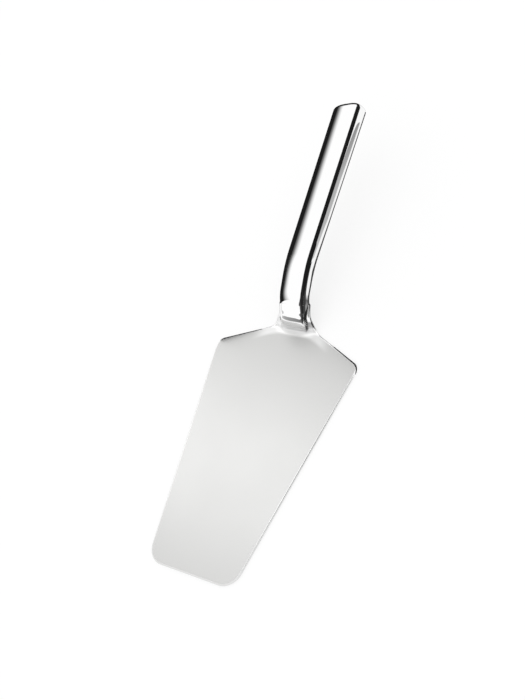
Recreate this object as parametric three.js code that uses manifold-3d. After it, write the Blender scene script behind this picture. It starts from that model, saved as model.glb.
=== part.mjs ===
// Cake server in stainless steel: a satin lifter blade pressed from one sheet, with a neck drawn up at its
// root, and a mirror-polished hollow handle made of two half shells. A tongue of the blade runs into the mouth
// of the handle and is locked there by set cement.
// Millimetres, +X from the tip to the handle end, +Z up. The blade rests on Z = 0, with X = 0 at the shoulder
// corners.

import * as THREE from 'three';
import { mergeVertices } from 'three/addons/utils/BufferGeometryUtils.js';
import Module from 'manifold-3d';

// Blade
const SHEET = 1.2;
const BLADE_LENGTH = 130;
const SHOULDER_WIDTH = 96.4;
const TIP_WIDTH = 58.6;
const SHOULDER_RISE = 20.2;
const TIP_RADIUS = 11;
const SHOULDER_RADIUS = 6;
const FLARE_RADIUS = 16;

// Crown line of neck and handle, seen from the side
const LIFTER_RUN = 12.8;
const FOOT_RUN = 2.2;
const FOOT_ANGLE = 72;
const NECK_RUN = 10.6;
const NECK_ANGLE = 43;
const SHANK_RUN = 16.4;
const SHANK_ANGLE = 23.4;
const GRIP_RUN = 94.6;
const GRIP_ANGLE = 9.7;
const ROOT_BEND = 3;
const KNEE_BEND = 8;
const NECK_BEND = 20;
const GRIP_BEND = 70;

// Neck channel
const NECK_WALL = 7;
const NECK_FOOT = 6;
const FULL_ARCH_DROP = 4.7;
const ROOT_SQUARENESS = 2.4;
const EDGE_START = 14.5;
const EDGE_RUN = 4.1;
const EDGE_RISE = 4.7;
const EDGE_BEND = 5;
const EDGE_KNEE_BEND = 9;
const RING_BACK = 1.4;

// Handle
const MOUTH_WIDTH = 16.4;
const MOUTH_DEPTH = 8.8;
const END_WIDTH = 17;
const END_DEPTH = 10.7;
const SQUARENESS = 4;
const SHELL_WALL = 0.8;
const END_ROUND = 4;
const END_SQUARENESS = 3.6;
const END_EDGE = 2.4;

// Tang and its bedding
const TANG_WIDTH = 9;
const TANG_LENGTH = 30;
const TANG_LAP = 6;
const TANG_PROUD = 4;

// Clearances
const SEAM = 0.3;
const FIT = 0.3;

// Mesh fineness
const ARC_STEPS = 24;
const ARCH_POINTS = 8;
const WALL_POINTS = 8;
const LOOP_POINTS = 13;
const NECK_ROWS = 26;
const BEND_ROWS = 15;
const END_ROWS = 8;
const BED_ROWS = 10;

const wasm = await Module();
wasm.setup();

const steel = (name, roughness) => {
  return new THREE.MeshStandardMaterial({ name, color: 0xc9cacc, metalness: 1, roughness });
};
const satinSteel = steel('satin_stainless_steel', 0.42);
const polishedSteel = steel('polished_stainless_steel', 0.06);
const cement = new THREE.MeshStandardMaterial({ name: 'set_cement', color: 0xb9b2a4, roughness: 0.9 });

const radians = (degrees) => THREE.MathUtils.degToRad(degrees);
const mix = (from, to, share) => THREE.MathUtils.lerp(from, to, share);
const ease = (share) => THREE.MathUtils.smoothstep(share, 0, 1);
const flat = (x, y) => new THREE.Vector2(x, y);

// Straight runs with an arc at each inner corner.
function roundedLine(corners, radii) {
  const points = [corners[0]];
  for (let i = 1; i < corners.length - 1; i += 1) {
    const back = corners[i - 1].clone().sub(corners[i]).normalize();
    const ahead = corners[i + 1].clone().sub(corners[i]).normalize();
    const half = back.angleTo(ahead) / 2;
    const reach = radii[i - 1] / Math.tan(half);
    const middle = back.clone().add(ahead).setLength(radii[i - 1] / Math.sin(half));
    const start = back.multiplyScalar(reach).sub(middle);
    const end = ahead.multiplyScalar(reach).sub(middle);
    const turn = Math.atan2(start.cross(end), start.dot(end));
    for (let k = 0; k <= ARC_STEPS; k += 1) {
      const spoke = start.clone().rotateAround(flat(0, 0), turn * k / ARC_STEPS);
      points.push(spoke.add(middle).add(corners[i]));
    }
  }
  points.push(corners[corners.length - 1]);
  return points;
}

// Height of a line at x, for lines that never turn back in x.
function heightAt(line, x) {
  const last = line.length - 1;
  let i = 1;
  while (i < last && line[i].x < x) {
    i += 1;
  }
  const share = (x - line[i - 1].x) / (line[i].x - line[i - 1].x);
  return mix(line[i - 1].y, line[i].y, share);
}

// Place and slope of a line at a distance along it.
function walk(line) {
  const lengths = [0];
  for (let i = 1; i < line.length; i += 1) {
    lengths.push(lengths[i - 1] + line[i].distanceTo(line[i - 1]));
  }
  const slope = (i) => {
    const from = line[Math.max(i - 1, 0)];
    const to = line[Math.min(i + 1, line.length - 1)];
    return Math.atan2(to.y - from.y, to.x - from.x);
  };
  const at = (distance) => {
    let i = 1;
    while (i < line.length - 1 && lengths[i] < distance) {
      i += 1;
    }
    const span = lengths[i] - lengths[i - 1];
    const share = span > 0 ? (distance - lengths[i - 1]) / span : 1;
    const place = line[i - 1].clone().lerp(line[i], share);
    return { x: place.x, z: place.y, angle: mix(slope(i - 1), slope(i), share) };
  };
  const bendStart = (i) => lengths[1 + i * (ARC_STEPS + 1)];
  const bendEnd = (i) => lengths[1 + i * (ARC_STEPS + 1) + ARC_STEPS];
  return { at, bendStart, bendEnd, total: lengths[lengths.length - 1] };
}

// The crown line: flat blade, root bend, steep foot, knee, neck, neck bend, shank, grip bend, grip.
const crownRuns = [
  [FOOT_RUN, FOOT_ANGLE],
  [NECK_RUN, NECK_ANGLE],
  [SHANK_RUN, SHANK_ANGLE],
  [GRIP_RUN, GRIP_ANGLE],
];
const crownCorners = [flat(LIFTER_RUN - ROOT_BEND, SHEET), flat(LIFTER_RUN, SHEET)];
for (const [run, angle] of crownRuns) {
  const from = crownCorners[crownCorners.length - 1];
  crownCorners.push(flat(from.x + run, from.y + run * Math.tan(radians(angle))));
}
const crown = walk(roundedLine(crownCorners, [ROOT_BEND, KNEE_BEND, NECK_BEND, GRIP_BEND]));
const ringAt = crown.bendStart(2) - RING_BACK;
const gripAt = crown.bendEnd(3);
const rootX = crown.at(crown.bendStart(0)).x;
const kneeX = LIFTER_RUN + FOOT_RUN;
const ringX = crown.at(ringAt).x;

// Half of the blade outline in plan, from the tip centre to the side of the neck.
const halfMouth = MOUTH_WIDTH / 2;
const flareX = SHOULDER_RISE * (1 - MOUTH_WIDTH / SHOULDER_WIDTH);
const outline = roundedLine([
  flat(-BLADE_LENGTH, 0),
  flat(-BLADE_LENGTH, TIP_WIDTH / 2),
  flat(0, SHOULDER_WIDTH / 2),
  flat(flareX, halfMouth),
  flat(flareX + BLADE_LENGTH, halfMouth),
], [TIP_RADIUS, SHOULDER_RADIUS, FLARE_RADIUS]).slice(1);

// The lower edge of the neck wall, seen from the side: along the blade, steeply up, then on to the mouth of
// the handle.
const edgeKnee = flat(EDGE_START + EDGE_RUN, SHEET + EDGE_RISE);
const beyondRing = below(ringAt, NECK_WALL).multiplyScalar(2).sub(edgeKnee);
const lowerEdge = roundedLine([
  flat(-BLADE_LENGTH, SHEET),
  flat(EDGE_START, SHEET),
  edgeKnee,
  beyondRing,
], [EDGE_BEND, EDGE_KNEE_BEND]);

// Evenly spaced points along a line.
function resample(points, count) {
  const line = walk(points);
  const even = [];
  for (let i = 0; i <= count; i += 1) {
    const place = line.at(line.total * i / count);
    even.push(flat(place.x, place.z));
  }
  return even;
}

// Half section of the pressed sheet from its crown to its edge. A deep section is an arch, a wall and a hollow
// foot, the rounder the wider its foot. A shallow one swells softly, and sections between them blend the two.
function archHalf(halfWidth, height, foot, reach, drop) {
  const rise = Math.min(height, drop / 2);
  const room = THREE.MathUtils.clamp(reach - halfWidth, 0, foot);
  const toe = Math.min(foot, drop - rise) * room / foot;
  const power = 2 / mix(SQUARENESS, ROOT_SQUARENESS, room / foot);
  const deep = [];
  for (let i = 0; i <= ARC_STEPS; i += 1) {
    const turn = Math.PI / 2 * i / ARC_STEPS;
    const out = Math.min(halfWidth, reach) * Math.sin(turn) ** power;
    deep.push(flat(out, rise * (1 - Math.max(Math.cos(turn), 0) ** power)));
  }
  for (let i = 0; i <= ARC_STEPS; i += 1) {
    const turn = Math.PI / 2 * i / ARC_STEPS;
    deep.push(flat(halfWidth + room * (1 - Math.cos(turn)), drop - toe * (1 - Math.sin(turn))));
  }
  const depth = ease(drop / FULL_ARCH_DROP);
  const points = deep.map((point) => {
    const swell = drop * ease((point.x - halfWidth / 3) / (halfWidth * 2 / 3 + room));
    return flat(point.x, mix(swell, point.y, depth));
  });
  const arch = points.slice(0, ARC_STEPS + 1);
  const wall = points.slice(ARC_STEPS).concat(flat(reach, drop));
  return resample(arch, ARCH_POINTS).concat(resample(wall, WALL_POINTS).slice(1));
}

// Both halves of a section in space, from left to right, between a crown point and an edge point.
function archRow(top, edge, halfWidth, height, foot) {
  const drop = Math.hypot(edge.x - top.x, edge.z - top.z);
  const run = drop > 0 ? (edge.x - top.x) / drop : 0;
  const fall = drop > 0 ? (edge.z - top.z) / drop : -1;
  const half = archHalf(halfWidth, height, foot, edge.y, drop);
  const place = (point, side) => {
    return new THREE.Vector3(top.x + point.y * run, side * point.x, top.z + point.y * fall);
  };
  const left = half.slice(1).reverse().map((point) => place(point, 1));
  return left.concat(half.map((point) => place(point, -1)));
}

// One closed loop round the sheet: the upper face left to right, then the under face back.
function sheetLoop(top, edgeX) {
  const edge = new THREE.Vector3(edgeX, heightAt(outline, edgeX), heightAt(lowerEdge, edgeX));
  const nearby = edgeX + SHEET / 10;
  const slope = Math.atan2(heightAt(lowerEdge, nearby) - edge.z, nearby - edgeX);
  const footing = THREE.MathUtils.clamp((edge.y - halfMouth) / NECK_FOOT, 0, 1) * Math.PI / 2;
  const inside = new THREE.Vector3(
    edge.x + SHEET * Math.sin(footing) * Math.sin(slope),
    edge.y - SHEET * Math.cos(footing),
    edge.z - SHEET * Math.sin(footing) * Math.cos(slope),
  );
  const under = { x: top.x + SHEET * Math.sin(top.angle), z: top.z - SHEET * Math.cos(top.angle) };
  const height = MOUTH_DEPTH / 2;
  const upper = archRow(top, edge, halfMouth, height, NECK_FOOT);
  const lower = archRow(under, inside, halfMouth - SHEET, height - SHEET, NECK_FOOT + SHEET);
  return upper.concat(lower.reverse());
}

// A skin over loops that each run left to right on top and back below, with both ends closed.
function loft(loops) {
  const points = loops.flat();
  const count = loops[0].length;
  const index = [];
  const quad = (a, b, c, d) => {
    const shorter = points[a].distanceTo(points[c]) <= points[b].distanceTo(points[d]);
    index.push(...(shorter ? [a, b, c, a, c, d] : [a, b, d, b, c, d]));
  };
  for (let i = 0; i < loops.length - 1; i += 1) {
    for (let j = 0; j < count; j += 1) {
      const next = (j + 1) % count;
      quad(i * count + j, i * count + next, (i + 1) * count + next, (i + 1) * count + j);
    }
  }
  const end = (loops.length - 1) * count;
  for (let j = 0; j < count / 2 - 1; j += 1) {
    quad(count - 1 - j, count - 2 - j, j + 1, j);
    quad(end + j, end + j + 1, end + count - 2 - j, end + count - 1 - j);
  }
  const geometry = new THREE.BufferGeometry().setFromPoints(points);
  geometry.setIndex(index);
  return solidOf(geometry);
}

function solidOf(geometry) {
  const bare = new THREE.BufferGeometry();
  bare.setAttribute('position', geometry.getAttribute('position'));
  bare.setIndex(geometry.getIndex());
  const merged = mergeVertices(bare, 1e-5);
  return new wasm.Manifold(new wasm.Mesh({
    numProp: 3,
    vertProperties: Float32Array.from(merged.getAttribute('position').array),
    triVerts: Uint32Array.from(merged.getIndex().array),
  }));
}

// A side view outline in X and Z, pulled across the width of the object.
function slab(points, width) {
  const shape = new THREE.Shape(points);
  const geometry = new THREE.ExtrudeGeometry(shape, { depth: width, bevelEnabled: false });
  geometry.rotateX(Math.PI / 2);
  geometry.translate(0, width / 2, 0);
  return solidOf(geometry);
}

function meshOf(name, solid, material) {
  const made = solid.getMesh();
  const geometry = new THREE.BufferGeometry();
  geometry.setAttribute('position', new THREE.BufferAttribute(made.vertProperties, 3));
  geometry.setIndex(new THREE.BufferAttribute(made.triVerts, 1));
  geometry.computeVertexNormals();
  const mesh = new THREE.Mesh(geometry, material);
  mesh.name = name;
  return mesh;
}

// Point in the side view at a distance along the crown line and a depth below it.
function below(distance, depth) {
  const top = crown.at(distance);
  return flat(top.x + depth * Math.sin(top.angle), top.z - depth * Math.cos(top.angle));
}

const spread = (from, to, count) => {
  return Array.from({ length: count + 1 }, (_, i) => mix(from, to, i / count));
};
const alongHandle = (distance) => (distance - ringAt) / (crown.total - ringAt);
const halfDepthAt = (distance) => mix(MOUTH_DEPTH, END_DEPTH, alongHandle(distance)) / 2;
const halfWidthAt = (distance) => mix(MOUTH_WIDTH, END_WIDTH, alongHandle(distance)) / 2;

// Cross section of the handle, a squared ellipse square to the crown line.
function handleLoop(distance, inset, widthShare, depthShare) {
  const centre = below(distance, halfDepthAt(distance));
  const lean = crown.at(distance).angle;
  const across = (halfWidthAt(distance) - inset) * widthShare;
  const up = (halfDepthAt(distance) - inset) * depthShare;
  const power = 2 / SQUARENESS;
  const upper = [];
  const lower = [];
  for (let i = 0; i < LOOP_POINTS; i += 1) {
    const turn = Math.PI * (i + 0.5) / LOOP_POINTS;
    const y = across * Math.sign(Math.cos(turn)) * Math.abs(Math.cos(turn)) ** power;
    const rise = up * Math.sin(turn) ** power;
    upper.push(new THREE.Vector3(centre.x - rise * Math.sin(lean), y, centre.y + rise * Math.cos(lean)));
    lower.push(new THREE.Vector3(centre.x + rise * Math.sin(lean), y, centre.y - rise * Math.cos(lean)));
  }
  return upper.concat(lower.reverse());
}

// The handle body, its walls moved in by the inset, from a start distance to the rounded end.
function handleBody(start, inset) {
  const last = crown.total - inset;
  const loops = spread(start, gripAt, BEND_ROWS).map((distance) => handleLoop(distance, inset, 1, 1));
  const edgeShare = END_EDGE / (END_DEPTH / 2);
  for (let i = 0; i <= END_ROWS; i += 1) {
    const turn = radians(84) * i / END_ROWS;
    const distance = last - END_ROUND * (1 - Math.sin(turn));
    const into = Math.max(1 - (last - distance) / END_EDGE, 0);
    const depthShare = 1 - edgeShare * (1 - Math.sqrt(1 - into * into));
    loops.push(handleLoop(distance, inset, Math.cos(turn) ** (2 / END_SQUARENESS), depthShare));
  }
  return loft(loops);
}

// Everything above (side 1) or below (side -1) the seam that halves the handle, less half the seam gap.
function seamHalf(side) {
  const stops = [ringAt - END_DEPTH, ...spread(ringAt, gripAt, BEND_ROWS), crown.total + END_DEPTH];
  const seam = stops.map((stop) => below(stop, halfDepthAt(stop) - side * SEAM / 2));
  const far = stops.map((stop) => below(stop, halfDepthAt(stop) - side * END_DEPTH)).reverse();
  return slab(seam.concat(far), END_WIDTH * 2);
}

function tangOutline(top, bottom, from, to) {
  const stops = spread(from, to, BEND_ROWS);
  return stops.map((stop) => below(stop, top)).concat(stops.reverse().map((stop) => below(stop, bottom)));
}

const tangTop = SHELL_WALL + 2 * FIT;
const tangBottom = tangTop + SHEET;
const mouthAt = ringAt + SEAM / 2;
const neckEnd = ringAt - SEAM / 2;

// The blade: flat rows follow the outline, neck rows lean over from the knee on, and the tang laps under the
// neck.
function blade() {
  const loops = [];
  for (const point of outline.filter((_, i) => i % 4 === 0 || i % (ARC_STEPS + 1) === ARC_STEPS)) {
    if (point.x < rootX - SHEET) {
      loops.push(sheetLoop({ x: point.x, z: SHEET, angle: 0 }, point.x));
    }
  }
  const ringLean = NECK_WALL * Math.sin(radians(NECK_ANGLE));
  for (const distance of spread(crown.bendStart(0), neckEnd, NECK_ROWS)) {
    const top = crown.at(distance);
    loops.push(sheetLoop(top, top.x + ringLean * ease((top.x - kneeX) / (ringX - kneeX))));
  }
  const lap = slab(tangOutline(SHEET / 2, tangBottom, neckEnd - TANG_LAP, neckEnd), TANG_WIDTH);
  const tongue = slab(tangOutline(tangTop, tangBottom, neckEnd - TANG_LAP, ringAt + TANG_LENGTH), TANG_WIDTH);
  return meshOf('blade', loft(loops).add(lap).add(tongue), satinSteel);
}

// The handle: one hollow body, open at the mouth, parted along the middle of its side walls.
function handleShells() {
  const hollow = handleBody(mouthAt, 0).subtract(handleBody(ringAt - SHELL_WALL, SHELL_WALL));
  return [
    meshOf('handle_top_shell', hollow.intersect(seamHalf(1)), polishedSteel),
    meshOf('handle_bottom_shell', hollow.intersect(seamHalf(-1)), polishedSteel),
  ];
}

// The bedding: cement that fills the mouth of the handle below and beside the tang.
function bedding() {
  const stops = spread(mouthAt, mouthAt + TANG_LENGTH - TANG_PROUD, BED_ROWS);
  const fill = loft(stops.map((stop) => handleLoop(stop, SHELL_WALL + FIT, 1, 1)));
  const slotFrom = ringAt - TANG_LAP;
  const slotTo = mouthAt + TANG_LENGTH;
  const slot = slab(tangOutline(0, tangBottom + FIT, slotFrom, slotTo), TANG_WIDTH + 2 * FIT);
  return meshOf('tang_bedding', fill.subtract(slot), cement);
}

const server = new THREE.Group();
server.name = 'cake_server';
server.add(blade(), ...handleShells(), bedding());

export default server;
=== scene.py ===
from math import cos, hypot, pi, radians, sin, tan

import bmesh
import bpy
import numpy as np
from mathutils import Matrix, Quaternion, Vector


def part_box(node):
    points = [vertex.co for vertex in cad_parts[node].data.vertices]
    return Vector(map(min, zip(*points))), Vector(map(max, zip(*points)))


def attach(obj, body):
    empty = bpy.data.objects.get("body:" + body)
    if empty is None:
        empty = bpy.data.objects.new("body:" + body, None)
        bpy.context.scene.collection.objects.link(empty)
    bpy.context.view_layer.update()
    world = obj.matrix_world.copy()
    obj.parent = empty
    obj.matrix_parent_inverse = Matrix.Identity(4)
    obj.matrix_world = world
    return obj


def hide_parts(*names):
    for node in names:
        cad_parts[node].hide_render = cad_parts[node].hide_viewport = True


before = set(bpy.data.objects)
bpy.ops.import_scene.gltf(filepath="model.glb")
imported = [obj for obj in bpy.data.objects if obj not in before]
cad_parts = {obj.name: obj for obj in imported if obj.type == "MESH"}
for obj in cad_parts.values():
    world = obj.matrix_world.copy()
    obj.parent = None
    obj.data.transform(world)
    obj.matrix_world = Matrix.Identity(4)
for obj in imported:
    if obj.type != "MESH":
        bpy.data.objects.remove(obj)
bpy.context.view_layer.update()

# Blade
# One sheet of stainless steel: a flat lifter with rounded tip corners and slanted shoulders, whose root is
# pressed up into a short open channel, the neck. The lifter has a satin finish, and the neck was polished
# together with the handle.

MM = 0.001
SHEET = 1.2
BLADE_LENGTH = 130
SHOULDER_WIDTH = 96.4
TIP_WIDTH = 58.6
SHOULDER_RISE = 20.2
TIP_RADIUS = 11
SHOULDER_RADIUS = 6
FLARE_RADIUS = 16
NECK_WALL = 7
NECK_FOOT = 6
FULL_ARCH_DROP = 4.7
EDGE_START = 14.5
EDGE_RUN = 4.1
EDGE_RISE = 4.7
EDGE_BENDS = (5, 9)
RING_BACK = 1.4
MOUTH_WIDTH = 16.4
MOUTH_DEPTH = 8.8
SQUARENESS = 4
ROOT_SQUARENESS = 2.1
LEVEL_SHARE = 1 / 3

# The crown line in side view: the lifter's run from the shoulders, then run, slope and the bend before it
# for the steep foot, the neck, the shank and the grip.
LIFTER_RUN = 12.8
RUNS = (2.2, 10.6, 16.4, 93.8)
SLOPES = (0, radians(72), radians(43), radians(23.4), radians(9.7))
BENDS = (4.5, 12, 20, 70)
BEND_SOFTENING = 1.5

ARC_STEPS = 200
CROWN_STEP = 0.02
FLAT_ROWS = 120
NECK_ROWS = 110
ARCH_POINTS = 40
WALL_POINTS = 44
RIM_STEPS = 18
RIM_WIDTH = 0.9
RIM_BUFF = 0.45
RIM_BUFF_FROM = -7
RIM_BUFF_RUN = 3


def unit(vectors):
    return vectors / np.linalg.norm(vectors, axis=-1, keepdims=True)


def ease(share):
    share = np.clip(share, 0, 1)
    return share * share * (3 - 2 * share)


def rounded_line(corners, radii):
    """Straight runs with an arc at each inner corner, as points in a plane."""
    corners = np.array(corners, float)
    points = [corners[:1]]
    for before, corner, after, radius in zip(corners, corners[1:], corners[2:], radii):
        back, ahead = unit(before - corner), unit(after - corner)
        half = np.arccos(back @ ahead) / 2
        middle = corner + unit(back + ahead) * radius / sin(half)
        start = corner + back * radius / tan(half) - middle
        end = corner + ahead * radius / tan(half) - middle
        turn = np.arctan2(start[0] * end[1] - start[1] * end[0], start @ end)
        angle = np.linspace(0, turn, ARC_STEPS)[:, None]
        side = np.array([-start[1], start[0]])
        points.append(middle + start * np.cos(angle) + side * np.sin(angle))
    points.append(corners[-1:])
    return np.concatenate(points)


def evenly(points, count):
    """The same line with evenly spaced points."""
    lengths = np.concatenate([[0], np.cumsum(np.linalg.norm(np.diff(points, axis=0), axis=1))])
    stations = np.linspace(0, lengths[-1], count)
    return np.stack([np.interp(stations, lengths, values) for values in points.T], axis=1)


# The crown line runs along the middle of the top, from the shoulders to the handle end, seen from the side.
stops, slopes, straight = [0.0], [0.0], LIFTER_RUN
for run, radius, before, after in zip(RUNS, BENDS, SLOPES, SLOPES[1:]):
    tangent = radius * abs(tan((after - before) / 2))
    bend_start = stops[-1] + straight - tangent
    stops += [bend_start, bend_start + radius * abs(after - before)]
    slopes += [before, after]
    straight = run / cos(after) - tangent
crown_end = stops[-1] + straight
crown_s = np.arange(0, crown_end + CROWN_STEP, CROWN_STEP)
window = np.hanning(int(BEND_SOFTENING / CROWN_STEP) // 2 * 2 + 1)
crown_slope = np.pad(np.interp(crown_s, stops, slopes), len(window) // 2, mode="edge")
crown_slope = np.convolve(crown_slope, window / window.sum(), "valid")
crown_x = (np.cumsum(np.cos(crown_slope)) - 1) * CROWN_STEP
crown_z = SHEET + np.cumsum(np.sin(crown_slope)) * CROWN_STEP
root_at, ring_at = stops[1] - BEND_SOFTENING / 2, stops[5] - RING_BACK


def crown_at(distance):
    """Place in side view and slope of the crown line at a distance along it."""
    return [np.interp(distance, crown_s, values) for values in (crown_x, crown_z, crown_slope)]


# Half of the outline in plan, drawn in from the true edge by the round of the rim where the sheet lies flat.
half_mouth = MOUTH_WIDTH / 2
flare_x = SHOULDER_RISE * (1 - MOUTH_WIDTH / SHOULDER_WIDTH)
outline = rounded_line([
    (-BLADE_LENGTH, 0),
    (-BLADE_LENGTH, TIP_WIDTH / 2),
    (0, SHOULDER_WIDTH / 2),
    (flare_x, half_mouth),
    (flare_x + BLADE_LENGTH, half_mouth),
], (TIP_RADIUS, SHOULDER_RADIUS, FLARE_RADIUS))[1:]


def footing(reach):
    """Angle by which the sheet's edge faces sideways: a right angle on the lifter, none on the neck wall."""
    return np.clip((reach - half_mouth) / NECK_FOOT, 0, 1) * pi / 2


heading = unit(np.gradient(outline, axis=0))
inset = RIM_WIDTH * np.sin(footing(outline[:, 1]))
outline = outline - np.stack([-heading[:, 1], heading[:, 0]], axis=1) * inset[:, None]

# The lower edge of the neck wall in side view: along the lifter, steeply up, then on to the foot of the ring.
ring_x, ring_z, ring_slope = crown_at(ring_at)
ring_foot = np.array([ring_x + NECK_WALL * sin(ring_slope), ring_z - NECK_WALL * cos(ring_slope)])
edge_knee = np.array([EDGE_START + EDGE_RUN, SHEET + EDGE_RISE])
lower_edge = rounded_line([
    (-BLADE_LENGTH, SHEET),
    (EDGE_START, SHEET),
    edge_knee,
    2 * ring_foot - edge_knee,
], EDGE_BENDS)


def arch_half(reach, drop):
    """Half section of the sheet, crown to edge: an arch, a wall and a hollow foot, softer where shallow."""
    rise = min(MOUTH_DEPTH / 2, drop / 2)
    room = np.clip(reach - half_mouth, 0, NECK_FOOT)
    toe = min(NECK_FOOT, drop - rise) * room / NECK_FOOT
    turn = np.linspace(0, pi / 2, ARC_STEPS)
    power = 2 / (SQUARENESS + (ROOT_SQUARENESS - SQUARENESS) * room / NECK_FOOT)
    out = np.concatenate([half_mouth * np.sin(turn) ** power, half_mouth + room * (1 - np.cos(turn))])
    arch_down = rise * (1 - np.cos(turn).clip(0) ** power)
    down = np.concatenate([arch_down, drop - toe * (1 - np.sin(turn))])
    level = half_mouth * LEVEL_SHARE
    swell = drop * ease((out - level) / (half_mouth - level + room))
    down = swell + (down - swell) * ease(drop / FULL_ARCH_DROP)
    half = np.stack([np.append(out, reach), np.append(down, drop)], axis=1)
    arch = evenly(half[:ARC_STEPS], ARCH_POINTS)
    return np.concatenate([arch, evenly(half[ARC_STEPS - 1:], WALL_POINTS)[1:]])


def sheet_row(top_x, top_z, edge_x):
    """A row of points over the sheet, left to right, from a crown point down to both edges."""
    reach = np.interp(edge_x, *outline.T)
    edge_z = np.interp(edge_x, *lower_edge.T) + RIM_WIDTH * cos(footing(reach))
    drop = hypot(edge_x - top_x, edge_z - top_z)
    half = arch_half(reach, drop)
    share = half[:, 1] / max(drop, CROWN_STEP)
    right = [top_x + share * (edge_x - top_x), -half[:, 0], top_z + share * (edge_z - top_z)]
    right = np.stack(right, axis=1)
    return np.concatenate([right[:0:-1] * (1, -1, 1), right])


def grid_normals(grid):
    return unit(np.cross(np.gradient(grid, axis=1), np.gradient(grid, axis=0)))


def quads(numbers):
    """Faces over a grid of point numbers."""
    corners = [numbers[:-1, :-1], numbers[:-1, 1:], numbers[1:, 1:], numbers[1:, :-1]]
    return np.stack(corners, axis=-1).reshape(-1, 4).tolist()


def add_piece(name, points, faces, normals):
    """A mesh object from points in millimetres, shaded by the true normals of its surfaces."""
    mesh = bpy.data.meshes.new(name)
    mesh.from_pydata(np.concatenate(points) * MM, [], faces)
    body = bmesh.new()
    body.from_mesh(mesh)
    bmesh.ops.recalc_face_normals(body, faces=body.faces)
    body.to_mesh(mesh)
    body.free()
    mesh.shade_smooth()
    mesh.normals_split_custom_set_from_vertices(np.concatenate(normals))
    piece = bpy.data.objects.new(name, mesh)
    bpy.context.scene.collection.objects.link(piece)
    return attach(piece, "root")


flat_x = evenly(outline[outline[:, 0] < crown_at(root_at)[0]], FLAT_ROWS)[:, 0]
rows = [sheet_row(x, SHEET, x) for x in flat_x[:-1]]
knee_x = LIFTER_RUN + RUNS[0]
for distance in np.linspace(root_at, ring_at, NECK_ROWS):
    top_x, top_z, slope = crown_at(distance)
    lean = ease((top_x - knee_x) / (ring_x - knee_x))
    rows.append(sheet_row(top_x, top_z, top_x + NECK_WALL * sin(ring_slope) * lean))
upper = np.array(rows)
upper_normals = grid_normals(upper)
under = upper - upper_normals * SHEET

# The rim: a cut edge rounded over, from the ring along one side, round the tip and back along the other.
numbers = np.arange(upper[..., 0].size).reshape(upper.shape[:2])
border = np.concatenate([numbers[:0:-1, 0], numbers[0], numbers[1:, -1]])
edge, edge_normals = upper.reshape(-1, 3)[border], upper_normals.reshape(-1, 3)[border]
rim_out = unit(np.cross(np.gradient(edge, axis=0), edge_normals))
rim_points, rim_normals = [], []
for turn in np.linspace(pi / 2, -pi / 2, RIM_STEPS + 1)[1:-1]:
    rim_points.append(edge + rim_out * cos(turn) * RIM_WIDTH + edge_normals * (sin(turn) - 1) * SHEET / 2)
    rim_normals.append(unit(rim_out * cos(turn) * SHEET / 2 + edge_normals * sin(turn) * RIM_WIDTH))
rim_numbers = 2 * numbers.size + np.arange((RIM_STEPS - 1) * len(border)).reshape(RIM_STEPS - 1, -1)
rim = np.concatenate([border[None], rim_numbers, border[None] + numbers.size])
neck_end = quads(np.stack([numbers[-1], numbers[-1] + numbers.size]))
rim_ends = [rim[:, 0].tolist(), rim[:, -1].tolist()]
blade = add_piece(
    "blade_sheet",
    [upper.reshape(-1, 3), under.reshape(-1, 3), *rim_points],
    quads(numbers) + quads(numbers + numbers.size) + quads(rim) + neck_end + rim_ends,
    [upper_normals.reshape(-1, 3), -upper_normals.reshape(-1, 3), *rim_normals],
)
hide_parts("blade")

# How far the rim is buffed: in part round the lifter, and fully from the shoulders to the ring.
rim_buff = RIM_BUFF + (1 - RIM_BUFF) * ease((edge[:, 0] - RIM_BUFF_FROM) / RIM_BUFF_RUN)
rim_marks = np.zeros(len(blade.data.vertices))
rim_marks[2 * numbers.size:] = np.tile(rim_buff, RIM_STEPS - 1)
blade.data.attributes.new("rim", "FLOAT", "POINT").data.foreach_set("value", rim_marks)


def linear(colour):
    """An sRGB hex colour as linear values with full opacity."""
    shares = [int(colour[place:place + 2], 16) / 255 for place in (1, 3, 5)]
    return [share / 12.92 if share <= 0.04045 else ((share + 0.055) / 1.055) ** 2.4 for share in shares] + [1]


def add_node(tree, kind, inputs=None, **settings):
    """Adds a node with its settings, and feeds its inputs by links from other nodes or by plain values."""
    node = tree.nodes.new(kind)
    for name, value in settings.items():
        setattr(node, name, value)
    for name, source in (inputs or {}).items():
        if isinstance(source, bpy.types.NodeSocket):
            tree.links.new(source, node.inputs[name])
        else:
            node.inputs[name].default_value = source
    return node


def new_material(name):
    """An empty node material and its node tree."""
    material = bpy.data.materials.new(name)
    material.use_nodes = True
    material.node_tree.nodes.clear()
    return material, material.node_tree


# Satin-ground stainless steel: a fine even grind that blurs what it mirrors into soft greys. Towards the neck
# the grind runs out into the brighter polish, and the rim is buffed, most at the shoulders. Along the bend at
# the root and in a chevron round it, the colour turns brighter while the roughness stays satin: a painted
# highlight. The grind lines are drawn coarser than the real ones, so that they show.
SATIN_GREY = "#c4c4c3"
SATIN_ROUGHNESS = 0.4
ROUGHNESS_SPREAD = 0.03
POLISHED_GREY = "#f8f8f8"
POLISHED_ROUGHNESS = 0.04
GRIND_SPACING = 0.9
GRIND_LENGTH = 14
GRIND_DEPTH = 0.004
CLOUD_SIZE = 35
POLISH_FROM, POLISH_TO = 0.4, 8
# Rise over which the colour turns polished, below where the roughness polishes: a painted highlight.
POLISH_AND_PAINTED_HIGHLIGHT_FROM, POLISH_AND_PAINTED_HIGHLIGHT_TO = 0.1, 1.6
# A chevron round the root where only the colour brightens: a painted highlight.
PAINTED_HIGHLIGHT_BOW = 0.0125
PAINTED_HIGHLIGHT_RUN = (10, 13)
PAINTED_HIGHLIGHT_REACH = (17, 27)
PAINTED_HIGHLIGHT_SHARE = 0.5

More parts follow.
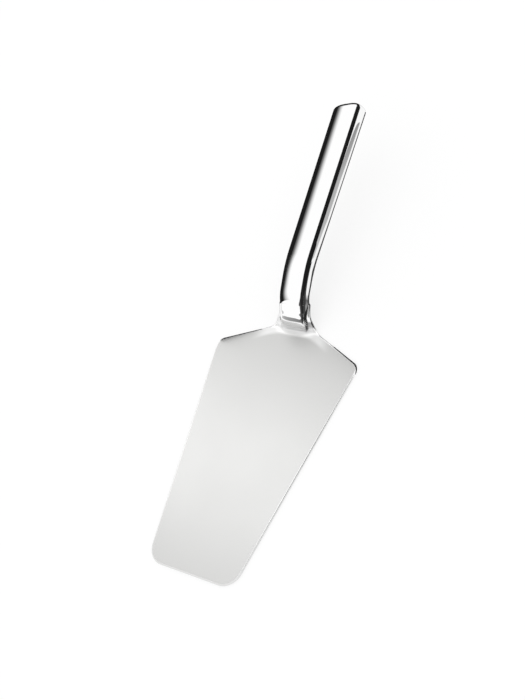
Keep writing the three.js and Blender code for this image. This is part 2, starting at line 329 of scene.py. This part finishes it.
satin_steel, tree = new_material("satin_ground_stainless_steel")
place = add_node(tree, "ShaderNodeTexCoord").outputs["Object"]
axes = add_node(tree, "ShaderNodeSeparateXYZ", {"Vector": place}).outputs
rim_mark = add_node(tree, "ShaderNodeAttribute", attribute_name="rim").outputs["Fac"]
polish = add_node(
    tree, "ShaderNodeMapRange",
    {"Value": axes["Z"], "From Min": (SHEET + POLISH_FROM) * MM, "From Max": (SHEET + POLISH_TO) * MM},
    interpolation_type="SMOOTHSTEP",
).outputs["Result"]
polish = add_node(tree, "ShaderNodeMath", {0: polish, 1: rim_mark}, operation="MAXIMUM").outputs["Value"]
# Painted highlight: the colour turns polished lower on the bend than the roughness does; the rim takes it
# too.
bend_polish_and_painted_highlight = add_node(
    tree, "ShaderNodeMapRange",
    {"Value": axes["Z"], "From Min": (SHEET + POLISH_AND_PAINTED_HIGHLIGHT_FROM) * MM, "From Max": (SHEET + POLISH_AND_PAINTED_HIGHLIGHT_TO) * MM},
    interpolation_type="SMOOTHSTEP",
).outputs["Result"]
bend_polish_and_painted_highlight = add_node(tree, "ShaderNodeMath", {0: bend_polish_and_painted_highlight, 1: rim_mark}, operation="MAXIMUM").outputs["Value"]
# Painted highlight: a pale chevron of colour round the root, fading away from the middle line.
across = add_node(tree, "ShaderNodeMath", {0: axes["Y"], 1: 2.0}, operation="POWER").outputs["Value"]
bow = add_node(
    tree, "ShaderNodeMath", {0: across, 1: PAINTED_HIGHLIGHT_BOW / MM, 2: axes["X"]}, operation="MULTIPLY_ADD",
).outputs["Value"]
painted_root_highlight = add_node(
    tree, "ShaderNodeMapRange",
    {"Value": bow, "From Min": PAINTED_HIGHLIGHT_RUN[0] * MM, "From Max": PAINTED_HIGHLIGHT_RUN[1] * MM, "To Max": PAINTED_HIGHLIGHT_SHARE},
    interpolation_type="SMOOTHSTEP",
).outputs["Result"]
sideways = add_node(tree, "ShaderNodeMath", {0: axes["Y"]}, operation="ABSOLUTE").outputs["Value"]
near = add_node(
    tree, "ShaderNodeMapRange",
    {
        "Value": sideways, "From Min": PAINTED_HIGHLIGHT_REACH[0] * MM, "From Max": PAINTED_HIGHLIGHT_REACH[1] * MM,
        "To Min": 1.0, "To Max": 0.0,
    },
    interpolation_type="SMOOTHSTEP",
).outputs["Result"]
painted_root_highlight = add_node(tree, "ShaderNodeMath", {0: painted_root_highlight, 1: near}, operation="MULTIPLY").outputs["Value"]
polish_and_painted_highlights = add_node(tree, "ShaderNodeMath", {0: bend_polish_and_painted_highlight, 1: painted_root_highlight}, operation="MAXIMUM").outputs["Value"]
stretched = add_node(
    tree, "ShaderNodeMapping",
    {"Vector": place, "Scale": (1 / (GRIND_LENGTH * MM), 1 / (GRIND_SPACING * MM), 1 / (GRIND_SPACING * MM))},
).outputs["Vector"]
grind = add_node(
    tree, "ShaderNodeTexNoise", {"Vector": stretched, "Scale": 1.0, "Detail": 3.0},
).outputs["Fac"]
clouds = add_node(
    tree, "ShaderNodeTexNoise", {"Vector": place, "Scale": 1 / (CLOUD_SIZE * MM), "Detail": 2.0},
).outputs["Fac"]
roughness = add_node(
    tree, "ShaderNodeMapRange",
    {
        "Value": clouds,
        "To Min": SATIN_ROUGHNESS - ROUGHNESS_SPREAD, "To Max": SATIN_ROUGHNESS + ROUGHNESS_SPREAD,
    },
).outputs["Result"]
roughness = add_node(
    tree, "ShaderNodeMix", {"Factor": polish, "A": roughness, "B": POLISHED_ROUGHNESS}, data_type="FLOAT",
).outputs["Result"]
grind_height = add_node(
    tree, "ShaderNodeMapRange", {"Value": polish, "To Min": 1.0, "To Max": 0.0},
).outputs["Result"]
grind_bump = add_node(
    tree, "ShaderNodeBump",
    {"Height": grind, "Strength": grind_height, "Distance": GRIND_DEPTH * MM},
).outputs["Normal"]
colour = add_node(
    tree, "ShaderNodeMix",
    {"Factor": polish_and_painted_highlights, "A": linear(SATIN_GREY), "B": linear(POLISHED_GREY)}, data_type="RGBA",
).outputs["Result"]
steel = add_node(
    tree, "ShaderNodeBsdfPrincipled",
    {"Base Color": colour, "Metallic": 1.0, "Roughness": roughness, "Normal": grind_bump},
)
add_node(tree, "ShaderNodeOutputMaterial", {"Surface": steel.outputs["BSDF"]})
blade.data.materials.append(satin_steel)

# Tang
# A tongue of the same steel, spot-welded under the end of the neck. It runs into the mouth of the handle and
# holds the two together. Only its first few millimetres show, from below.

TANG_WIDTH = 9
TANG_LENGTH = 30
TANG_LAP = 6
TANG_DEPTH = 1.4
TANG_STEPS = 40

tang_s = np.linspace(ring_at - TANG_LAP, ring_at + TANG_LENGTH, TANG_STEPS)
tang_x, tang_z, tang_slope = crown_at(tang_s)
tang_down = np.stack([np.sin(tang_slope), 0 * tang_s, -np.cos(tang_slope)], axis=1)[:, None]
tang_line = np.stack([tang_x, 0 * tang_s, tang_z], axis=1)[:, None]
tang_width = np.array([[0, TANG_WIDTH / 2, 0], [0, -TANG_WIDTH / 2, 0]])[None]
tang_depth = np.where(tang_s < ring_at, SHEET, TANG_DEPTH)[:, None, None]
tang_top = tang_line + tang_down * tang_depth + tang_width
tang_under = tang_line + tang_down * (TANG_DEPTH + SHEET) + tang_width
tang_loop = np.concatenate([tang_top, tang_under[:, ::-1]], axis=1)
tang_numbers = np.arange(TANG_STEPS * 4).reshape(-1, 4)
tang_wrapped = np.concatenate([tang_numbers, tang_numbers[:, :1]], axis=1)
tang_sides = unit(tang_loop - tang_loop.mean(axis=1, keepdims=True))
tang = add_piece(
    "tang",
    [tang_loop.reshape(-1, 3)],
    quads(tang_wrapped) + [tang_numbers[0].tolist(), tang_numbers[-1].tolist()],
    [tang_sides.reshape(-1, 3)],
)
tang.data.materials.append(satin_steel)

# Handle shells
# Two half shells pressed from stainless steel sheet, welded along the middle of the side walls and to the
# neck, then ground and mirror-polished until no seam shows. The section is a squared oval that swells
# slightly to the end.

END_WIDTH = 17.6
END_DEPTH = 10.7
SHELL_WALL = 0.8
END_ROUND = 3.6
END_SQUARENESS = 3.2
END_SKEW = 0.18
END_SKEW_RUN = 10.8
END_EDGE = 2.4
SECTION_POINTS = 120
HANDLE_ROWS = 130
END_ROWS = 40
END_TURN = radians(89)

# Turns round the squared oval that space its points evenly.
dense = np.linspace(0, pi, 100 * ARC_STEPS)
power = 2 / SQUARENESS
oval = np.stack([np.sign(np.cos(dense)) * np.abs(np.cos(dense)) ** power * END_WIDTH,
                 np.abs(np.sin(dense)) ** power * END_DEPTH, dense], axis=1)
lengths = np.concatenate([[0], np.cumsum(np.linalg.norm(np.diff(oval[:, :2], axis=0), axis=1))])
turns = np.interp(np.linspace(0, lengths[-1], SECTION_POINTS), lengths, dense)
oval_across = np.sign(np.cos(turns)) * np.abs(np.cos(turns)) ** power
oval_up = np.abs(np.sin(turns)) ** power


def handle_rows(wall):
    """Rows of points over the upper and the lower half of the handle, its walls moved in by a depth."""
    last = crown_end - wall
    end_turn = np.linspace(0, END_TURN, END_ROWS)
    distance = np.linspace(ring_at, last - END_ROUND, HANDLE_ROWS)[:-1]
    distance = np.concatenate([distance, last - END_ROUND * (1 - np.sin(end_turn))])
    width_share = np.ones_like(distance)
    width_share[-END_ROWS:] = np.cos(end_turn) ** (2 / END_SQUARENESS)
    into = np.clip(1 - (last - distance) / END_EDGE, 0, 1)
    depth_share = 1 - END_EDGE / (END_DEPTH / 2) * (1 - np.sqrt(1 - into ** 2))
    share = (distance - ring_at) / (crown_end - ring_at)
    half_depth = (MOUTH_DEPTH + (END_DEPTH - MOUTH_DEPTH) * share) / 2
    half_width = (MOUTH_WIDTH + (END_WIDTH - MOUTH_WIDTH) * share) / 2
    skew = -END_SKEW * ease((distance - last) / END_SKEW_RUN + 1)
    x, z, slope = crown_at(distance)
    up = np.stack([-np.sin(slope), 0 * x, np.cos(slope)], axis=1)
    middle = np.stack([x, 0 * x, z], axis=1) - up * half_depth[:, None]
    along = np.stack([np.cos(slope), 0 * x, np.sin(slope)], axis=1)
    side_line = np.array([0, 1, 0]) + skew[:, None] * along
    reach = (half_width - wall) * width_share
    across = reach[:, None, None] * oval_across[None, :, None] * side_line[:, None]
    rise = ((half_depth - wall) * depth_share)[:, None, None] * oval_up[None, :, None] * up[:, None]
    return middle[:, None] + across + rise, middle[:, None] - across - rise


outer_halves, inner_halves = handle_rows(0), handle_rows(SHELL_WALL)
ring_of_points = np.concatenate([outer_halves[0], outer_halves[1][:, 1:-1]], axis=1)
round_the_section = np.roll(ring_of_points, -1, axis=1) - np.roll(ring_of_points, 1, axis=1)
section_normals = unit(np.cross(round_the_section, np.gradient(ring_of_points, axis=0)))
section_normals = np.concatenate([section_normals, section_normals[:, :1]], axis=1)
half_normals = section_normals[:, :SECTION_POINTS], section_normals[:, SECTION_POINTS - 1:]


def strip_end(numbers):
    """Faces that close the last row across the middle, left side to right side."""
    half = numbers.shape[1] // 2
    return quads(np.stack([numbers[-1, :half], numbers[-1, :half - 1:-1]]))


def shell(name, outer, inner, normals):
    """A half shell with a wall: outer and inner faces, joined at the mouth and along both seams."""
    numbers = np.arange(outer[..., 0].size).reshape(outer.shape[:2])
    inside = numbers + numbers.size
    edge = [np.concatenate([side[:0:-1, 0], side[0], side[1:, -1]]) for side in (numbers, inside)]
    closing = [[numbers[-1, 0], numbers[-1, -1], inside[-1, -1], inside[-1, 0]]]
    faces = quads(numbers) + quads(inside) + quads(np.stack(edge))
    faces += strip_end(numbers) + strip_end(inside) + closing
    return add_piece(
        name,
        [outer.reshape(-1, 3), inner.reshape(-1, 3)],
        faces,
        [normals.reshape(-1, 3), -normals.reshape(-1, 3)],
    )


top_shell = shell("handle_top", outer_halves[0], inner_halves[0], half_normals[0])
bottom_shell = shell("handle_bottom", outer_halves[1], inner_halves[1], half_normals[1])
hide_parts("handle_top_shell")
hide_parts("handle_bottom_shell")

# Mirror-polished stainless steel: sharp reflections, with the faint waviness that hand polishing leaves.
WAVE_SIZE = 9
WAVE_DEPTH = 0.004

polished_steel, tree = new_material("mirror_polished_stainless_steel")
place = add_node(tree, "ShaderNodeTexCoord").outputs["Object"]
waves = add_node(tree, "ShaderNodeTexNoise", {"Vector": place, "Scale": 1 / (WAVE_SIZE * MM), "Detail": 0.0})
wave_bump = add_node(
    tree, "ShaderNodeBump", {"Height": waves.outputs["Fac"], "Strength": 1.0, "Distance": WAVE_DEPTH * MM},
).outputs["Normal"]
steel = add_node(
    tree, "ShaderNodeBsdfPrincipled",
    {
        "Base Color": linear(POLISHED_GREY), "Metallic": 1.0,
        "Roughness": POLISHED_ROUGHNESS, "Normal": wave_bump,
    },
)
add_node(tree, "ShaderNodeOutputMaterial", {"Surface": steel.outputs["BSDF"]})
for piece in (top_shell, bottom_shell):
    piece.data.materials.append(polished_steel)

# Tang bedding
# Set resin cement that fills the mouth of the handle round the tang and holds it there. A narrow crescent of
# it shows below the neck.

# Set resin cement: matt and slightly gritty, of an uneven grey-beige. The grit is drawn coarser than the real
# one, so that it shows.
CEMENT_PALE = "#b3ab9c"
CEMENT_DARK = "#8d8576"
CEMENT_ROUGHNESS = 0.85
GRIT_SIZE = 0.8
GRIT_DEPTH = 0.1

cement, tree = new_material("set_resin_cement")
place = add_node(tree, "ShaderNodeTexCoord").outputs["Object"]
grit = add_node(tree, "ShaderNodeTexNoise", {"Vector": place, "Scale": 1 / (GRIT_SIZE * MM), "Detail": 4.0})
colour = add_node(
    tree, "ShaderNodeMix",
    {"Factor": grit.outputs["Fac"], "A": linear(CEMENT_DARK), "B": linear(CEMENT_PALE)}, data_type="RGBA",
).outputs["Result"]
grit_bump = add_node(
    tree, "ShaderNodeBump", {"Height": grit.outputs["Fac"], "Distance": GRIT_DEPTH * MM},
).outputs["Normal"]
resin = add_node(
    tree, "ShaderNodeBsdfPrincipled",
    {"Base Color": colour, "Roughness": CEMENT_ROUGHNESS, "Normal": grit_bump},
)
add_node(tree, "ShaderNodeOutputMaterial", {"Surface": resin.outputs["BSDF"]})
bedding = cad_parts["tang_bedding"]
bedding.data.materials.clear()
bedding.data.materials.append(cement)

# Floor and light
# A plain white table in even white light from all round. Black and grey cards and a softbox, which show only
# in the metal, stand round the server as a photographer sets them to draw dark lines on polished steel. Some
# of the cards on the floor are painted shadow: they stand in for the handle's shadow there.

FLOOR_SIZE = 6.0
FLOOR_DROP = 0.1 * MM
WHITE_LIGHT = 1.06

# Matt white paper. Most of its white is a glow of its own, so the shadow on it stays as faint as in soft
# light.
FLOOR_GREY = "#8c8c8c"
FLOOR_GLOW = 0.73
FLOOR_ROUGHNESS = 0.9

floor_mesh = bpy.data.meshes.new("floor")
reach = FLOOR_SIZE / 2
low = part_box("blade")[0].z - FLOOR_DROP
floor_corners = [(-reach, -reach, low), (reach, -reach, low), (reach, reach, low), (-reach, reach, low)]
floor_mesh.from_pydata(floor_corners, [], [(0, 1, 2, 3)])
floor = bpy.data.objects.new("floor", floor_mesh)
bpy.context.scene.collection.objects.link(floor)
paper, tree = new_material("white_paper")
surface = add_node(tree, "ShaderNodeBsdfPrincipled", {
    "Base Color": linear(FLOOR_GREY), "Roughness": FLOOR_ROUGHNESS, "Specular IOR Level": 0.0,
    "Emission Color": (1, 1, 1, 1), "Emission Strength": FLOOR_GLOW,
})
add_node(tree, "ShaderNodeOutputMaterial", {"Surface": surface.outputs["BSDF"]})
floor_mesh.materials.append(paper)

world = bpy.data.worlds.new("white_studio")
bpy.context.scene.world = world
world.use_nodes = True
world.node_tree.nodes.clear()
sky = add_node(world.node_tree, "ShaderNodeBackground", {"Color": (1, 1, 1, 1), "Strength": WHITE_LIGHT})
add_node(world.node_tree, "ShaderNodeOutputWorld", {"Surface": sky.outputs["Background"]})

# Each card is a strip of rows of points, and each row has a shade, from black to white and brighter, and an
# opacity.
BLACK = 0.012
CARD_LIFT = 0.5
LOW_LIFT = 0.4


def card_surface(name, nearest):
    """A card's surface, which shows only in metal farther from it than a distance in millimetres."""
    surface, tree = new_material(name)
    shade = add_node(tree, "ShaderNodeAttribute", attribute_name="shade")
    length = add_node(tree, "ShaderNodeLightPath").outputs["Ray Length"]
    far = add_node(
        tree, "ShaderNodeMath", {0: length, 1: nearest * MM}, operation="GREATER_THAN",
    ).outputs["Value"]
    share = add_node(
        tree, "ShaderNodeMath", {0: shade.outputs["Alpha"], 1: far}, operation="MULTIPLY",
    ).outputs["Value"]
    glow = add_node(
        tree, "ShaderNodeEmission", {"Color": shade.outputs["Color"], "Strength": 1.0},
    ).outputs["Emission"]
    clear = add_node(tree, "ShaderNodeBsdfTransparent").outputs["BSDF"]
    mixed = add_node(tree, "ShaderNodeMixShader", {0: share, 1: clear, 2: glow}).outputs["Shader"]
    add_node(tree, "ShaderNodeOutputMaterial", {"Surface": mixed})
    return surface


near_card = card_surface("near_card", 0)


def studio_card(name, rows, surface=near_card):
    """A card from rows of points in millimetres, each row with its shade and opacity."""
    width = len(rows[0][0])
    points = np.concatenate([row[0] for row in rows]) * MM
    mesh = bpy.data.meshes.new(name)
    mesh.from_pydata(points, [], quads(np.arange(len(points)).reshape(-1, width)))
    shades = np.repeat([(row[1], row[1], row[1], row[2]) for row in rows], width, axis=0)
    mesh.color_attributes.new("shade", "FLOAT_COLOR", "POINT").data.foreach_set("color", shades.ravel())
    mesh.materials.append(surface)
    card = bpy.data.objects.new(name, mesh)
    bpy.context.scene.collection.objects.link(card)
    card.visible_camera = card.visible_diffuse = card.visible_shadow = card.visible_transmission = False


def standing(y, places):
    """Points of an upright card beside the handle, from places along it and heights."""
    return [(x, y, z) for x, z in places]


def lying(places, lift=CARD_LIFT):
    """Points of a card that lies just above the floor."""
    return [(x, y, lift) for x, y in places]


# Flags along both sides of the handle draw its two dark bands. Behind the soft upper edge of the left one, a
# white screen hides the softbox.
studio_card("left_flag", [
    (standing(12, [(22.2, 4), (48, 10), (160, 30)]), BLACK, 1),
    (standing(12, [(21.4, 12.6), (48, 14), (160, 34)]), BLACK, 1),
    (standing(12, [(16, 19.2), (48, 33.8), (160, 51.2)]), BLACK, 1),
    (standing(12, [(14.2, 21.2), (48, 36.8), (160, 54.3)]), BLACK, 0.8),
    (standing(12, [(13, 22.6), (48, 38.4), (160, 55.9)]), BLACK, 0.54),
    (standing(12, [(10.2, 26.2), (48, 41.5), (160, 59.2)]), BLACK, 0),
])
studio_card("left_screen", [
    (standing(13, [(8, 17), (48, 33), (90, 39.6)]), WHITE_LIGHT, 1),
    (standing(13, [(6, 30), (48, 45), (90, 52)]), WHITE_LIGHT, 1),
])
studio_card("right_flag", [
    (standing(-16, [(28, 14), (57.5, 20), (58.5, 23), (138, 37.3), (175, 44)]), BLACK, 1),
    (standing(-16, [(26, 78), (57.5, 86), (58.5, 88), (138, 90), (175, 92)]), BLACK, 1),
])

# Cards on the floor darken the lower part of the right side of neck, shank and grip. They are painted shadow:
# they stand in for the handle's shadow on the floor beside and under it, as the steel mirrors it.
studio_card("under_card", [
    (lying([(22, 12), (18, -14.5)]), 0.06, 1),
    (lying([(27.5, 12), (27.5, -15)]), 0.06, 1),
    (lying([(35, 12), (35, -17.5)]), 0.06, 1),
    (lying([(42, 12), (42, -19)]), 0.06, 1),
    (lying([(50, 12), (50, -22.5)]), 0.06, 1),
    (lying([(66, 12), (66, -22.5)]), 0.06, 1),
    (lying([(83, 12), (83, -21)]), 0.06, 1),
    (lying([(110, 12), (110, -21.5)]), 0.06, 1),
    (lying([(160, 12), (160, -26)]), 0.06, 1),
])
studio_card("shank_floor_card", [
    (lying([(18.5, -14.2), (25, -15.2)]), 0.06, 1),
    (lying([(15, -20.5), (35, -20.5)]), 0.05, 1),
    (lying([(11.8, -27), (42, -27)]), 0.05, 1),
    (lying([(8.8, -33), (57.5, -33)]), 0.05, 1),
    (lying([(-10, -120), (57.5, -120)]), 0.03, 1),
    (lying([(-137, -400), (57.5, -400)]), 0.03, 1),
])
studio_card("neck_floor_card", [
    (lying([(24, -14.2), (24, -16)], LOW_LIFT), 0.3, 1),
    (lying([(28, -14.8), (28, -17.5)], LOW_LIFT), 0.3, 1),
    (lying([(30.4, -15.5), (30.4, -18.5)], LOW_LIFT), 0.22, 1),
    (lying([(32.2, -16), (32.2, -19.5)], LOW_LIFT), 0.12, 1),
    (lying([(36, -17.4), (36, -21.5)], LOW_LIFT), 0.12, 0),
])
# Painted shadow: the grey strip stands in for the grip's shadow on the floor, and ends where the handle ends.
studio_card("grip_floor_card", [
    (lying([(59, -27.5), (59, -140)]), 0.6, 1),
    (lying([(83, -28), (83, -140)]), 0.48, 1),
    (lying([(110, -31.5), (110, -140)]), 0.47, 1),
    (lying([(132, -33.5), (132, -140)]), 0.36, 1),
    (lying([(150, -36), (150, -140)]), 0.3, 1),
])

# A dark dome beyond the tip, for the neck and the handle. Where the lifter is nearer to it, it doesn't show.
DOME_CENTRE = (22, -6, 12)
DOME_RADIUS = 400
DOME_MARGIN = 15
DOME_STEPS = 12

far_card = card_surface("far_card", DOME_RADIUS - DOME_MARGIN)


def dome_column(around, low, high):
    """Points up the dome, by angles in degrees from the line to the tip and from the floor."""
    up = np.radians(np.linspace(low, high, DOME_STEPS))
    out = [-np.cos(up) * cos(radians(around)), np.cos(up) * sin(radians(around)), np.sin(up)]
    return np.array(DOME_CENTRE) + DOME_RADIUS * np.stack(out, axis=1)


studio_card("tip_dome", [
    (dome_column(-98, -1.5, 82), 0.02, 1),
    (dome_column(-82, -1.5, 82), 0.02, 1),
    (dome_column(-68, -1.5, 81), 0.02, 1),
    (dome_column(-54, -1.5, 79), 0.02, 1),
    (dome_column(-40, 2.7, 76), 0.02, 1),
    (dome_column(-27, 2.7, 68), 0.03, 1),
    (dome_column(-15, 2.7, 49), 0.05, 1),
    (dome_column(0, 3.4, 37.5), 0.08, 1),
    (dome_column(8, 4, 33), 0.12, 1),
    (dome_column(15, 4.5, 24.5), 0.18, 1),
    (dome_column(24, 1.8, 19), 0.22, 1),
    (dome_column(36, -1.1, 16.3), 0.3, 1),
    (dome_column(48, -1.1, 13.8), 0.5, 1),
    (dome_column(64, -1.1, 11.3), 0.8, 0.5),
], far_card)

# A card and two strips at the shoulders draw the thin dark line along their rim.
studio_card("shoulder_card", [
    (lying([(15.5, 13.5), (8, 32.5)]), 0.03, 1),
    (lying([(53, 59), (46, 76.5)]), 0.03, 1),
    ([(53, 59, 10), (46, 76.5, 10)], 0.03, 1),
])
studio_card("right_shoulder_strip", [
    ([(-4.6, -47.6, 0.1), (-0.7, -46.9, 0.1), (1.9, -43.9, 0.1), (8.9, -27.2, 0.1)], BLACK, 1),
    ([(-4.4, -49, 0.1), (0, -48.1, 0.1), (3.2, -44.5, 0.1), (10.2, -27.8, 0.1)], BLACK, 1),
    ([(-4.4, -49, 1), (0, -48.1, 6), (3.2, -44.5, 8), (10.2, -27.8, 5)], BLACK, 1),
])
studio_card("left_shoulder_strip", [
    ([(-0.7, 46.9, 0.1), (1.9, 43.9, 0.1), (10.6, 23, 0.1)], BLACK, 1),
    ([(0, 48.1, 0.1), (3.2, 44.5, 0.1), (12, 23.6, 0.1)], BLACK, 1),
    ([(0, 48.1, 5), (3.2, 44.5, 7), (12, 23.6, 3)], BLACK, 1),
])

# A card on the floor and a flag behind the handle draw the line round its end.
studio_card("back_card", [
    (lying([(145, 300), (145, 10)]), 0.02, 1),
    (lying([(250, 300), (250, 12)]), 0.02, 1),
])
studio_card("end_flag", [
    ([(160, 70, 31), (160, 2.4, 31)], 0.02, 1),
    ([(160, 70, 36), (160, -20, 36)], 0.02, 1),
    ([(160, 70, 71), (160, -20, 71)], 0.02, 1),
])

# The softbox brightens the middle of the lifter.
studio_card("softbox", [
    ([(-50, 80, 450), (70, 80, 450)], 2.2, 1),
    ([(-50, 420, 220), (70, 420, 220)], 2.2, 1),
])

# Camera
# It looks down at the lifter from the right of the tip, rolled so that the handle points up in the picture.
# Its place was fitted to the straight edges of the blade.

CAMERA_PLACE = Vector((-0.1838, -0.3852, 0.4938))
CAMERA_AIM = Vector((-0.0012, 0.0163, 0.0))
CAMERA_ROLL = radians(-47.27)
FOCAL_PIXELS = 1200
IMAGE_HEIGHT = 700

camera_data = bpy.data.cameras.new("camera")
camera_data.lens = FOCAL_PIXELS * camera_data.sensor_width / IMAGE_HEIGHT
camera = bpy.data.objects.new("camera", camera_data)
bpy.context.scene.collection.objects.link(camera)
camera.location = CAMERA_PLACE
camera.rotation_mode = "QUATERNION"
aim = (CAMERA_AIM - CAMERA_PLACE).to_track_quat("-Z", "Y")
camera.rotation_quaternion = aim @ Quaternion((0, 0, 1), CAMERA_ROLL)
bpy.context.scene.camera = camera
bpy.context.scene.view_settings.view_transform = "Standard"
